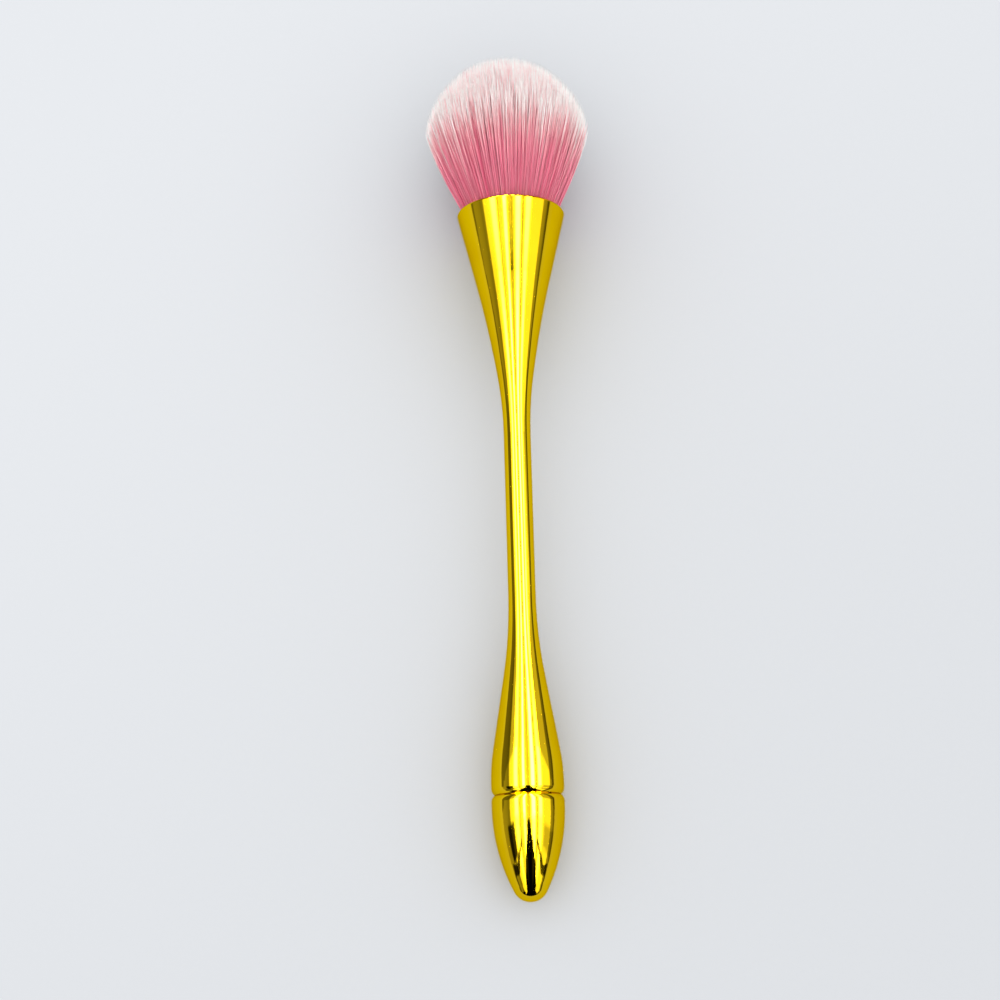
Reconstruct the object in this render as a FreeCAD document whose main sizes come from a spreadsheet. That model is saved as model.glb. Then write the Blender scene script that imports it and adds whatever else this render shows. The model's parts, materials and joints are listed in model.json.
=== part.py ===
import FreeCAD, Part
import math
import os
import re
from collections import namedtuple

import Sketcher

# A soft nail-dust brush with a slim-waisted moulded handle, lying on a flat surface as it is put down.
#
# Each turned piece is an outline of radius against height along the brush's own axis, with the tail tip at
# height 0 and the bristles at the top, revolved in a body of its own. One placement lays all the pieces
# down together: the brush rests on the belly of its tail, and on bristles that flatten under it.

# Driving dimensions in millimetres and degrees, with a drop measured down from the mouth's rim and a rise
# measured up from the seam between tail cap and handle.
SIZES = (
    ("handle_length", 134.0, "tail tip to mouth rim"),
    ("rim_radius", 10.67, "outside of the mouth rim"),
    ("lip_wall", 1.05, "wall between the rim and the mouth"),
    ("lip_round", 0.4, "rounding on both sides of the lip"),
    ("cup_kink_radius", 5.33, "cup where its flare steepens"),
    ("cup_kink_drop", 22.4, "drop to that change of slope"),
    ("cup_kink_round", 210.0, "arc that blends it"),
    ("flare_drop", 39.2, "drop to where waist and cup would meet sharply"),
    ("flare_round", 80.0, "arc that blends them"),
    ("waist_radius", 2.62, "straight waist"),
    ("neck_rise", 29.8, "rise to where waist and swell would meet sharply"),
    ("neck_round", 90.0, "arc that blends them"),
    ("swell_rise", 5.3, "rise to where swell and belly would meet sharply"),
    ("swell_round", 36.0, "arc that blends them"),
    ("belly_radius", 6.78, "widest ring on both sides of the seam"),
    ("cup_depth", 14.0, "drop to the ledge inside the cup"),
    ("ledge_wall", 1.15, "cup wall at the ledge"),
    ("ledge_width", 1.6, "ledge between the cup and its glue well"),
    ("well_depth", 3.6, "depth of the glue well"),
    ("cap_length", 19.3, "tail tip to seam"),
    ("cap_belly_drop", 2.1, "seam down to where the tail cap starts to narrow"),
    ("tip_radius", 3.4, "rounding of the tail tip"),
    ("seam_gap", 0.06, "glue line between cap and handle"),
    ("seam_depth", 0.55, "depth of the groove at the seam"),
    ("shoulder_height", 1.2, "rounded edge on each side of the seam"),
    ("socket_radius", 4.6, "bore for the cap's spigot"),
    ("spigot_length", 6.2, "spigot above the seam"),
    ("spigot_clearance", 0.05, "radial play of the spigot in its bore"),
    ("spigot_end_gap", 0.3, "axial play above the spigot"),
    ("spigot_wall", 1.2, "wall of the hollow spigot"),
    ("core_step", 0.4, "shoulder between the spigot's bore and the core"),
    ("core_length", 15.0, "hollow core above the spigot's bore"),
    ("core_tip_radius", 1.6, "rounded end of the core"),
    ("cap_floor", 5.6, "solid tail tip below the cap's hollow"),
    ("crush_rib_height", 3.6, "length of the spigot's crush ribs"),
    ("crush_rib_width", 0.7, "width of a crush rib"),
    ("crush_rib_count", 6, "ribs round the spigot"),
    ("glue_groove_rise", 4.3, "rise to the spigot's glue groove"),
    ("glue_groove_width", 1.2, "height of that groove"),
    ("glue_groove_depth", 0.35, "depth of that groove"),
    ("film", 0.2, "adhesive between root plug and cup"),
    ("plug_height", 6.6, "potted length of the filaments"),
    ("binding_gap", 0.5, "plug to thread, and thread to cup"),
    ("thread_radius", 0.25, "binding thread"),
    ("thread_turns", 5, "turns of thread round the bundle"),
    ("thread_squeeze", 0.04, "how far each turn is pressed into the next"),
    ("thread_bite", 0.75, "how far the thread draws the bundle in"),
    ("thread_clearance", 0.03, "thread to bundle"),
    ("bundle_clearance", 0.08, "bundle to cup wall"),
    ("bend_clearance", 0.35, "lip to the free filaments as they sweep"),
    ("bend_gap", 0.45, "gripped filaments to free ones"),
    ("bend_edge_angle", 10.8, "angle above the rim where the gripped filaments end"),
    ("tuft_length", 31.7, "bristles beyond the rim"),
    ("tuft_radius", 16.2, "widest ring of the tuft"),
    ("tuft_widest", 18.7, "rim up to the widest ring"),
    ("tuft_flare_round", 72.0, "outward curve of the tuft's side"),
    ("tuft_flattening", 1.4, "how far the surface presses the bristles in"),
)
NAMES = {name for name, _, _ in SIZES}
EDGE_SHARE = 0.98  # most of a straight edge that its roundings may take up
TRIM_BLOCK = 400.0  # edge of the block that trims the tuft at the surface it lies on

# An outline is a list of these. At is a corner, with an optional rounding. Arc replaces the straight edge
# between two corners, and turns left or right along the outline.
At = namedtuple("At", "radius height rounding", defaults=(None,))
Arc = namedtuple("Arc", "radius turn")
LEFT, RIGHT = 1, -1

# Formulas that several pieces share. The ogive is the arc that runs tangent from the tail tip's rounding to
# the belly, and the shoulder's arc is tangent to the belly and cuts in by the seam's depth.
CAP_BELLY = "(cap_length - cap_belly_drop)"
CAP_TAPER = f"({CAP_BELLY} - tip_radius)"
OGIVE = f"((belly_radius^2 - tip_radius^2 + {CAP_TAPER}^2) / (2 * (belly_radius - tip_radius)))"
SHOULDER = "((shoulder_height^2 + seam_depth^2) / (2 * seam_depth))"
SEAM = "(cap_length + seam_gap)"
SPIGOT_TOP = "(cap_length + spigot_length)"
SPIGOT_RADIUS = "(socket_radius - spigot_clearance)"
SOCKET_TOP = f"({SPIGOT_TOP} + spigot_end_gap)"
GROOVE_RADIUS = f"({SPIGOT_RADIUS} - glue_groove_depth)"
GROOVE_LOW = "(cap_length + glue_groove_rise)"
GROOVE_HIGH = f"({GROOVE_LOW} + glue_groove_width)"
LIP_LOW = "(handle_length - lip_round)"
MOUTH_RADIUS = "(rim_radius - lip_wall)"
LEDGE = "(handle_length - cup_depth)"
CUP_SLOPE = "((rim_radius - cup_kink_radius) / (cup_kink_drop - lip_round))"
LEDGE_RADIUS = f"(cup_kink_radius + (cup_kink_drop - cup_depth) * {CUP_SLOPE} - ledge_wall)"
WELL_RADIUS = f"({LEDGE_RADIUS} - ledge_width)"
WELL_FLOOR = f"({LEDGE} - well_depth)"
PLUG_LOW = f"({LEDGE} + film)"
PLUG_HIGH = f"({PLUG_LOW} + plug_height)"
THREAD_PITCH = "(2 * thread_radius - thread_squeeze)"
BINDING_LOW = f"({PLUG_HIGH} + binding_gap)"
BINDING_HIGH = f"({BINDING_LOW} + (thread_turns - 1) * {THREAD_PITCH} + 2 * thread_radius)"
BEND_HOLLOW = "(rim_radius + bend_clearance)"
BEND_BALL = f"({BEND_HOLLOW} - bend_gap)"
DOME_HEIGHT = "(tuft_length - tuft_widest)"
DOME = f"((tuft_radius^2 + {DOME_HEIGHT}^2) / (2 * {DOME_HEIGHT}))"

# How the brush lies. The ogive's lowest point is its own radius below its centre, and the tuft's widest
# ring reaches its flattening below the surface, which gives the angle that the axis rises by.
ALONG = f"(handle_length + tuft_widest - {CAP_BELLY})"
ACROSS = f"(tuft_radius - belly_radius + {OGIVE})"
RISE = f"(atan2({ACROSS}; {ALONG}) - asin(({OGIVE} + tuft_flattening) / sqrt({ALONG}^2 + {ACROSS}^2)))"
TAIL_LOW = f"({OGIVE} - ({OGIVE} - belly_radius) * cos({RISE}) - {CAP_BELLY} * sin({RISE}))"
TAIL_END = f"(tip_radius * (cos({RISE}) - 1))"
TUFT_END = f"((handle_length + tuft_length - {DOME}) * cos({RISE}) + {DOME})"


def cup_radius(height):
    """Inner radius of the conical cup at a height."""
    return f"({LEDGE_RADIUS} + ({MOUTH_RADIUS} - {LEDGE_RADIUS}) * ({height} - {LEDGE}) / cup_depth)"


PLUG_TOP_RADIUS = f"({cup_radius(PLUG_HIGH)} - film)"
NECK_RADIUS = f"({PLUG_TOP_RADIUS} - thread_bite)"
COIL_RADIUS = f"({NECK_RADIUS} + thread_radius + thread_clearance)"


def bound(formula):
    """The formula with the name of each size tied to its cell of the sheet."""
    return re.sub(r"[a-z_]+", lambda word: "sizes." + word[0] if word[0] in NAMES else word[0], formula)


def make_sheet(doc):
    sheet = doc.addObject("Spreadsheet::Sheet", "sizes")
    for row, (name, value, meaning) in enumerate(SIZES, start=1):
        sheet.set(f"A{row}", meaning)
        sheet.set(f"B{row}", str(value))
        sheet.setAlias(f"B{row}", name)
    doc.recompute()


def number(obj, formula):
    """The formula's value now, as a plain number."""
    value = obj.evalExpression(bound(formula))
    return float(getattr(value, "Value", value))


def lay_down(piece):
    """Turns the brush's axis towards +Y, raised a little, with its middle over the origin."""
    piece.Placement.Rotation = FreeCAD.Rotation(FreeCAD.Vector(-1, 0, 0), 90)
    piece.setExpression("Placement.Rotation.Angle", bound(f"90 deg - {RISE}"))
    piece.setExpression("Placement.Base.y", bound(f"-({TAIL_END} + {TUFT_END}) / 2"))
    piece.setExpression("Placement.Base.z", bound(TAIL_LOW))


def origin_part(body, role):
    """The body's own origin plane or axis with that role."""
    return next(part for part in body.Origin.OriginFeatures if part.Role == role)


def new_sketch(body, name, role):
    sketch = body.newObject("Sketcher::SketchObject", name)
    sketch.AttachmentSupport = [(origin_part(body, role), "")]
    sketch.MapMode = "FlatFace"
    sketch.Visibility = False
    return sketch


def tie(sketch, kind, *where_and_formula):
    """Adds a constraint whose value follows a formula."""
    *where, formula = where_and_formula
    index = sketch.addConstraint(Sketcher.Constraint(kind, *where, number(sketch, formula)))
    sketch.setExpression(f"Constraints[{index}]", bound(formula))


def tie_point(sketch, geometry, end, corner):
    """Holds a point of the sketch at the corner's radius and height. -1 and -2 are the sketch's axes."""
    if corner.radius == "0":
        sketch.addConstraint(Sketcher.Constraint("PointOnObject", geometry, end, -2))
    else:
        tie(sketch, "DistanceX", -1, 1, geometry, end, corner.radius)
    if corner.height == "0":
        sketch.addConstraint(Sketcher.Constraint("PointOnObject", geometry, end, -1))
    else:
        tie(sketch, "DistanceY", -1, 1, geometry, end, corner.height)


def add_arc(sketch, start, end, formula, turn):
    """Adds the shorter arc from start to end. Returns its index and which ends are its first and last."""
    radius = number(sketch, formula)
    chord = end - start
    across = FreeCAD.Vector(-chord.y, chord.x, 0) * turn / chord.Length
    centre = (start + end) / 2 + across * math.sqrt(max(radius**2 - chord.Length**2 / 4, 0.0))
    first, last = (start, end) if turn == LEFT else (end, start)
    angles = [math.atan2(point.y - centre.y, point.x - centre.x) for point in (first, last)]
    circle = Part.Circle(centre, FreeCAD.Vector(0, 0, 1), radius)
    index = sketch.addGeometry(Part.ArcOfCircle(circle, *angles), False)
    return index, ((1, 2) if turn == LEFT else (2, 1))


def rounding_ends(before, corner, after, radius):
    """Where an arc of that radius leaves and joins the straight edges at a corner, and how it turns."""
    back, ahead = (before - corner).normalize(), (after - corner).normalize()
    reach = radius / math.tan(back.getAngle(ahead) / 2)
    turn = LEFT if back.x * ahead.y < back.y * ahead.x else RIGHT
    return corner + back * reach, corner + ahead * reach, turn


def between(start, end):
    """Formulas for how far an edge goes across and along the brush's axis."""
    return f"{end.radius} - ({start.radius})", f"{end.height} - ({start.height})"


def reach_limit(corner, neighbour):
    """Formula for how much of the edge between two corners a rounding at the first may use."""
    share = EDGE_SHARE / 2 if neighbour.rounding else EDGE_SHARE
    across, along = between(corner, neighbour)
    return f"{share} * sqrt(({across})^2 + ({along})^2)"


def direction(start, end):
    """Formula for the angle of the edge between two corners."""
    across, along = between(start, end)
    return f"atan2({along}; {across})"


def limit_rounding(before, corner, after):
    """The corner with its rounding no larger than the edges beside it leave room for."""
    if not corner.rounding:
        return corner
    reach = f"min({reach_limit(corner, before)}; {reach_limit(corner, after)})"
    half_turn = f"abs({direction(corner, after)} - {direction(before, corner)}) / 2"
    return corner._replace(rounding=f"min({corner.rounding}; {reach} / tan({half_turn}))")


def corners_and_arcs(steps):
    """Splits an outline into its corners, and the arcs by the number of the corner that they leave."""
    corners, arcs = [], {}
    for step in steps:
        if isinstance(step, At):
            corners.append(step)
        else:
            arcs[len(corners) - 1] = step
    beside = zip(corners[-1:] + corners[:-1], corners, corners[1:] + corners[:1])
    return [limit_rounding(*three) for three in beside], arcs


def draw_outline(body, name, steps):
    """A closed and fully tied sketch in the body's XZ plane."""
    sketch = new_sketch(body, name, "XZ_Plane")
    corners, arcs = corners_and_arcs(steps)
    points = [FreeCAD.Vector(number(sketch, c.radius), number(sketch, c.height), 0) for c in corners]
    following = points[1:] + points[:1]
    ends = []
    for i, corner in enumerate(corners):
        ends.append((points[i], points[i], LEFT))
        if corner.rounding:
            ends[i] = rounding_ends(points[i - 1], points[i], following[i], number(sketch, corner.rounding))
    edges = []
    for i in range(len(corners)):
        start, end = ends[i][1], ends[(i + 1) % len(corners)][0]
        if i in arcs:
            edges.append(add_arc(sketch, start, end, *arcs[i]))
            tie(sketch, "Radius", edges[i][0], arcs[i].radius)
        else:
            edges.append((sketch.addGeometry(Part.LineSegment(start, end), False), (1, 2)))
    for i, corner in enumerate(corners):
        (before, (_, leaves)), (after, (enters, _)) = edges[i - 1], edges[i]
        if corner.rounding:
            start, end, turn = ends[i]
            blend, (first, last) = add_arc(sketch, start, end, corner.rounding, turn)
            sketch.addConstraint(Sketcher.Constraint("Tangent", before, leaves, blend, first))
            sketch.addConstraint(Sketcher.Constraint("Tangent", blend, last, after, enters))
            tie(sketch, "Radius", blend, corner.rounding)
            sharp = sketch.addGeometry(Part.Point(points[i]), True)
            sketch.addConstraint(Sketcher.Constraint("PointOnObject", sharp, 1, before))
            sketch.addConstraint(Sketcher.Constraint("PointOnObject", sharp, 1, after))
            tie_point(sketch, sharp, 1, corner)
        else:
            sketch.addConstraint(Sketcher.Constraint("Coincident", before, leaves, after, enters))
            tie_point(sketch, after, enters, corner)
    return sketch


def turned_body(doc, label, steps):
    """A body revolved from one outline about the brush's axis."""
    body = doc.addObject("PartDesign::Body", label)
    body.Label = label
    sketch = draw_outline(body, label + "_outline", steps)
    doc.recompute()
    turned = body.newObject("PartDesign::Revolution", label + "_turned")
    turned.Profile = sketch
    turned.ReferenceAxis = (sketch, ["V_Axis"])
    turned.Angle = 360.0
    lay_down(body)
    doc.recompute()
    return body


def make_handle(doc):
    """One moulding: cup, straight waist and lower swell, open at the mouth and cored from the tail."""
    core_high = f"({SOCKET_TOP} + core_length)"
    return turned_body(doc, "handle_body", [
        At("belly_radius - seam_depth", SEAM),
        Arc(SHOULDER, LEFT),
        At("belly_radius", f"{SEAM} + shoulder_height"),
        At("belly_radius", f"{SEAM} + swell_rise", "swell_round"),
        At("waist_radius", f"{SEAM} + neck_rise", "neck_round"),
        At("waist_radius", "handle_length - flare_drop", "flare_round"),
        At("cup_kink_radius", "handle_length - cup_kink_drop", "cup_kink_round"),
        At("rim_radius", LIP_LOW),
        Arc("lip_round", LEFT),
        At("rim_radius - lip_round", "handle_length"),
        At(f"{cup_radius(LIP_LOW)} + lip_round", "handle_length"),
        Arc("lip_round", LEFT),
        At(cup_radius(LIP_LOW), LIP_LOW),
        At(LEDGE_RADIUS, LEDGE),
        At(WELL_RADIUS, LEDGE),
        At(WELL_RADIUS, WELL_FLOOR),
        At("0", WELL_FLOOR),
        At("0", core_high),
        Arc("core_tip_radius", RIGHT),
        At("core_tip_radius", f"{core_high} - core_tip_radius"),
        At("socket_radius - core_step", SOCKET_TOP),
        At("socket_radius", SOCKET_TOP),
        At("socket_radius", SEAM),
    ])


def make_tail_cap(doc):
    """Bullet-shaped cap, hollow from its spigot, which has a glue groove and crush ribs."""
    bore = f"({SPIGOT_RADIUS} - spigot_wall)"
    share = f"tip_radius / ({OGIVE} - tip_radius)"
    body = turned_body(doc, "tail_cap", [
        At("0", "0"),
        Arc("tip_radius", LEFT),
        At(f"({OGIVE} - belly_radius) * {share}", f"tip_radius - {CAP_TAPER} * {share}"),
        Arc(OGIVE, LEFT),
        At("belly_radius", CAP_BELLY),
        At("belly_radius", "cap_length - shoulder_height"),
        Arc(SHOULDER, LEFT),
        At("belly_radius - seam_depth", "cap_length"),
        At(SPIGOT_RADIUS, "cap_length"),
        At(SPIGOT_RADIUS, GROOVE_LOW),
        At(GROOVE_RADIUS, GROOVE_LOW),
        At(GROOVE_RADIUS, GROOVE_HIGH),
        At(SPIGOT_RADIUS, GROOVE_HIGH),
        At(SPIGOT_RADIUS, SPIGOT_TOP),
        At(bore, SPIGOT_TOP),
        At(bore, f"cap_floor + {bore}"),
        Arc(bore, RIGHT),
        At("0", "cap_floor"),
    ])
    add_crush_ribs(doc, body)
    return body


def add_crush_ribs(doc, body):
    """Low ridges along the spigot, flush with the bore that they are pressed into."""
    sketch = new_sketch(body, "crush_rib_section", "XY_Plane")
    sketch.setExpression("AttachmentOffset.Base.z", bound("cap_length"))
    crest, root = number(sketch, "socket_radius"), number(sketch, GROOVE_RADIUS)
    half_width = number(sketch, "crush_rib_width / 2")
    corners = [FreeCAD.Vector(*at) for at in ((root, -half_width, 0), (crest, 0, 0), (root, half_width, 0))]
    for start, end in zip(corners, corners[1:] + corners[:1]):
        sketch.addGeometry(Part.LineSegment(start, end), False)
    for side in range(3):
        sketch.addConstraint(Sketcher.Constraint("Coincident", side, 2, (side + 1) % 3, 1))
    sketch.addConstraint(Sketcher.Constraint("Symmetric", 0, 1, 2, 1, -1))
    sketch.addConstraint(Sketcher.Constraint("PointOnObject", 1, 1, -1))
    tie(sketch, "DistanceX", -1, 1, 1, 1, "socket_radius")
    tie(sketch, "DistanceX", -1, 1, 0, 1, GROOVE_RADIUS)
    tie(sketch, "DistanceY", 0, 1, 2, 1, "crush_rib_width")
    doc.recompute()
    rib = body.newObject("PartDesign::Pad", "crush_rib")
    rib.Profile = sketch
    rib.setExpression("Length", bound("crush_rib_height"))
    doc.recompute()
    ring = body.newObject("PartDesign::PolarPattern", "crush_ribs")
    ring.Originals = [rib]
    ring.Axis = (origin_part(body, "Z_Axis"), [""])
    ring.Angle = 360.0
    ring.setExpression("Occurrences", bound("crush_rib_count"))
    body.Tip = ring
    doc.recompute()


def make_cap_adhesive(doc):
    """Ring of set adhesive that fills the spigot's groove out to the bore."""
    return turned_body(doc, "tail_cap_adhesive", [
        At(GROOVE_RADIUS, GROOVE_LOW),
        At("socket_radius", GROOVE_LOW),
        At("socket_radius", GROOVE_HIGH),
        At(GROOVE_RADIUS, GROOVE_HIGH),
    ])


def make_cup_adhesive(doc):
    """Set adhesive: the filled well, and a thin sleeve between the root plug and the cup."""
    return turned_body(doc, "cup_adhesive", [
        At("0", WELL_FLOOR),
        At(WELL_RADIUS, WELL_FLOOR),
        At(WELL_RADIUS, LEDGE),
        At(LEDGE_RADIUS, LEDGE),
        At(cup_radius(PLUG_HIGH), PLUG_HIGH),
        At(PLUG_TOP_RADIUS, PLUG_HIGH),
        At(f"{cup_radius(PLUG_LOW)} - film", PLUG_LOW),
        At("0", PLUG_LOW),
    ])


def make_root_plug(doc):
    """The ends of the filaments, potted in resin to the taper of the cup."""
    return turned_body(doc, "root_plug", [
        At("0", PLUG_LOW),
        At(f"{cup_radius(PLUG_LOW)} - film", PLUG_LOW),
        At(PLUG_TOP_RADIUS, PLUG_HIGH),
        At("0", PLUG_HIGH),
    ])


def make_bristle_roots(doc):
    """The gripped filaments: drawn in by the thread, then fanned out of the mouth to a ball-shaped top."""
    above = f"({BINDING_HIGH} + binding_gap)"
    return turned_body(doc, "bristle_roots", [
        At("0", PLUG_HIGH),
        At(PLUG_TOP_RADIUS, PLUG_HIGH),
        At(NECK_RADIUS, BINDING_LOW),
        At(NECK_RADIUS, BINDING_HIGH),
        At(f"{cup_radius(above)} - bundle_clearance", above),
        At(f"{MOUTH_RADIUS} - bundle_clearance", "handle_length"),
        At(f"{BEND_BALL} * cos(bend_edge_angle)", f"handle_length + {BEND_BALL} * sin(bend_edge_angle)"),
        Arc(BEND_BALL, LEFT),
        At("0", f"handle_length + {BEND_BALL}"),
    ])


def make_binding(doc):
    """Thread wound round the filaments just above the plug, its turns pressed into each other."""
    body = doc.addObject("PartDesign::Body", "root_binding")
    body.Label = "root_binding"
    sketch = new_sketch(body, "thread_section", "XZ_Plane")
    height = f"{BINDING_LOW} + thread_radius"
    centre = FreeCAD.Vector(number(sketch, COIL_RADIUS), number(sketch, height), 0)
    radius = number(sketch, "thread_radius")
    sketch.addGeometry(Part.Circle(centre, FreeCAD.Vector(0, 0, 1), radius), False)
    tie(sketch, "Radius", 0, "thread_radius")
    tie(sketch, "DistanceX", -1, 1, 0, 3, COIL_RADIUS)
    tie(sketch, "DistanceY", -1, 1, 0, 3, height)
    doc.recompute()
    turn = body.newObject("PartDesign::Revolution", "thread_turn")
    turn.Profile = sketch
    turn.ReferenceAxis = (sketch, ["V_Axis"])
    turn.Angle = 360.0
    doc.recompute()
    winding = body.newObject("PartDesign::LinearPattern", "thread_winding")
    winding.Originals = [turn]
    winding.Direction = (origin_part(body, "Z_Axis"), [""])
    winding.setExpression("Length", bound(f"(thread_turns - 1) * {THREAD_PITCH}"))
    winding.setExpression("Occurrences", bound("thread_turns"))
    body.Tip = winding
    lay_down(body)
    doc.recompute()
    return body


def make_tuft(doc):
    """The free filaments: flared side, domed top, ball-shaped hollow below, flattened where they lie."""
    body = turned_body(doc, "tuft_shape", [
        At("0", "handle_length"),
        At(MOUTH_RADIUS, "handle_length"),
        Arc("tuft_flare_round", LEFT),
        At("tuft_radius", "handle_length + tuft_widest"),
        Arc(DOME, LEFT),
        At("0", "handle_length + tuft_length"),
    ])
    hollow = body.newObject("PartDesign::SubtractiveSphere", "bend_hollow")
    hollow.AttachmentSupport = [(origin_part(body, "XY_Plane"), "")]
    hollow.MapMode = "FlatFace"
    hollow.setExpression("AttachmentOffset.Base.z", bound("handle_length"))
    hollow.setExpression("Radius", bound(BEND_HOLLOW))
    body.Tip = hollow
    below = doc.addObject("Part::Box", "below_the_surface")
    below.Length = below.Width = below.Height = TRIM_BLOCK
    below.Placement.Base = FreeCAD.Vector(-TRIM_BLOCK / 2, -TRIM_BLOCK / 2, -TRIM_BLOCK)
    doc.recompute()
    tuft = doc.addObject("Part::Cut", "bristle_tuft")
    tuft.Label = "bristle_tuft"
    tuft.Base = body
    tuft.Tool = below
    return tuft


def check(doc, pieces):
    """Stops if an object did not build, or a piece is not one valid closed solid."""
    for obj in doc.Objects:
        if {"Invalid", "Error"} & set(obj.State):
            raise RuntimeError(f"{obj.Label} did not build: {obj.State}")
    for piece in pieces:
        shape = piece.Shape
        if shape.isNull() or not shape.isValid() or len(shape.Solids) != 1 or shape.Volume <= 0:
            raise RuntimeError(f"{piece.Label} is not one valid solid")


def main():
    doc = FreeCAD.newDocument("nail_brush")
    make_sheet(doc)
    pieces = [
        make_handle(doc),
        make_tail_cap(doc),
        make_cap_adhesive(doc),
        make_cup_adhesive(doc),
        make_root_plug(doc),
        make_binding(doc),
        make_bristle_roots(doc),
        make_tuft(doc),
    ]
    doc.recompute()
    check(doc, pieces)
    os.makedirs("parts", exist_ok=True)
    for piece in pieces:
        piece.Shape.exportStep(os.path.join("parts", piece.Label + ".step"))
        print(f"{piece.Label}: {piece.Shape.Volume:.1f} mm3")
    handle = pieces[0]
    pivot = handle.Placement.multVec(FreeCAD.Vector(0, 0, number(handle, "handle_length")))
    print(f"centre of the mouth, where the bristles bend: {tuple(pivot)}")
    print(f"tail tip: {tuple(handle.Placement.Base)}, axis raised by {number(handle, RISE):.4f} degrees")


main()
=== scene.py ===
"""Looks of a soft nail dust brush: a plated handle, and a round tuft of two-tone filaments.

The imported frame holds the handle, cap, glue and thread. This file gives them their finishes, grows the
filaments one by one in place of the frame's plain solids, and sets the brush on a table under soft light.
"""

import json
import math

import bpy
import numpy as np
from mathutils import Matrix, Vector


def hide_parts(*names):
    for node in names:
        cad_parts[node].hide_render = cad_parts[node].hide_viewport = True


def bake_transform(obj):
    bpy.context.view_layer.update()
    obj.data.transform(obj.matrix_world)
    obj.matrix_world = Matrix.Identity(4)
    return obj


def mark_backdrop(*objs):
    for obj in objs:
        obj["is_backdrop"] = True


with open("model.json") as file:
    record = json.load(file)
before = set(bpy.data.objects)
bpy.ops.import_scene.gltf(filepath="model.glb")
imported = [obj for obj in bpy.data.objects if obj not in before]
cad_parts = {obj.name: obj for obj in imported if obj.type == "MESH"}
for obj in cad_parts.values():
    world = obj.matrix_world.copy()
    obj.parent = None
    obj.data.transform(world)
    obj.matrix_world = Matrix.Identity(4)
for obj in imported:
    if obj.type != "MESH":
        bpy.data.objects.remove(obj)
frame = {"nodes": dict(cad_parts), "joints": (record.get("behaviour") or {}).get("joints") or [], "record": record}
bpy.context.view_layer.update()

bl_info = {
    "name": "Nail dust brush",
    "version": (1, 0, 0),
    "blender": (4, 5, 0),
    "location": "3D View > Sidebar > Nail brush",
    "description": "Finishes, filaments and table for a soft nail dust brush",
    "category": "Object",
}

MM = 0.001
SEED = 7

# Where the brush lies: the hinge is the middle of the cup's mouth, and the waist gives the axis.
hinge = frame["joints"][0]
waist = next(m for m in frame["record"]["mounts"] if m["name"] == "waist_clip")
MOUTH = np.array(hinge["pos_m"], float)
ALONG = np.array(waist["axis"], float)
ALONG /= np.linalg.norm(ALONG)
ACROSS = np.array([1.0, 0.0, 0.0])
ABOVE = np.cross(ACROSS, ALONG)


# ---------------------------------------------------------------- sizes and colours


class TuftSizes(bpy.types.PropertyGroup):
    """Size, number and dye of the filaments."""

    filaments: bpy.props.IntProperty(
        name="Filaments", description="Filaments in the whole tuft", default=24500, min=500, max=30000
    )
    rings: bpy.props.IntProperty(
        name="Rings", description="Pieces that the tuft is divided into, from the middle out",
        default=7, min=1,
    )
    bundles: bpy.props.IntProperty(
        name="Locks", description="Locks that neighbouring filaments gather into", default=6000, min=10
    )
    thickness: bpy.props.FloatProperty(
        name="Thickness", description="Thickness of a filament below its taper",
        default=0.1 * MM, unit="LENGTH", precision=5,
    )
    mouth_radius: bpy.props.FloatProperty(
        name="Mouth", description="Radius of the bundle where it leaves the cup",
        default=9.05 * MM, unit="LENGTH", precision=5,
    )
    neck_radius: bpy.props.FloatProperty(
        name="Neck", description="Radius of the bundle inside the thread",
        default=6.8 * MM, unit="LENGTH", precision=5,
    )
    widest_radius: bpy.props.FloatProperty(
        name="Widest", description="Radius of the tuft at its widest",
        default=16.5 * MM, unit="LENGTH", precision=5,
    )
    widest_height: bpy.props.FloatProperty(
        name="Height of widest", description="Rim up to the widest ring",
        default=18.9 * MM, unit="LENGTH", precision=5,
    )
    height: bpy.props.FloatProperty(
        name="Height", description="Rim up to the top of the dome",
        default=32.85 * MM, unit="LENGTH", precision=5,
    )
    lean: bpy.props.FloatProperty(
        name="Lean", description="How far the widest ring leans to the left",
        default=0.28 * MM, unit="LENGTH", precision=5,
    )
    fade: bpy.props.FloatProperty(
        name="Fade", description="Distance from a tip over which the dye comes in",
        default=16.1 * MM, unit="LENGTH", precision=5,
    )
    tip_colour: bpy.props.FloatVectorProperty(
        name="Tips", description="Undyed tips", default=(0.905, 0.90, 0.875), subtype="COLOR", min=0, max=1
    )
    blush_colour: bpy.props.FloatVectorProperty(
        name="Blush", description="Where the dye begins",
        default=(0.90, 0.42, 0.45), subtype="COLOR", min=0, max=1,
    )
    dye_colour: bpy.props.FloatVectorProperty(
        name="Dye", description="Full dye at mid length",
        default=(0.87, 0.18, 0.285), subtype="COLOR", min=0, max=1,
    )
    # The root colour is the pink dye darkened by painted shade near the cup.
    root_shade_colour: bpy.props.FloatVectorProperty(
        name="Roots", description="Dye near the cup",
        default=(0.61, 0.055, 0.14), subtype="COLOR", min=0, max=1,
    )


class FinishLook(bpy.types.PropertyGroup):
    """Plating of the handle."""

    gold: bpy.props.FloatVectorProperty(
        name="Gold", description="Plating", default=(0.80, 0.54, 0.009), subtype="COLOR", min=0, max=1
    )
    deep_gold: bpy.props.FloatVectorProperty(
        name="Deep gold", description="Plating where it is a little thicker",
        default=(0.76, 0.49, 0.008), subtype="COLOR", min=0, max=1,
    )
    polish: bpy.props.FloatProperty(
        name="Polish", description="Roughness of the plating", default=0.04, min=0, max=1
    )
    edge_tint: bpy.props.FloatVectorProperty(
        name="Edge tint", description="Tint of the plating where it turns away",
        default=(0.88, 0.74, 0.12), subtype="COLOR", min=0, max=1,
    )
    orange_peel: bpy.props.FloatProperty(
        name="Orange peel", description="Height of the plating's slow waves",
        default=0.006 * MM, unit="LENGTH", precision=6,
    )


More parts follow.
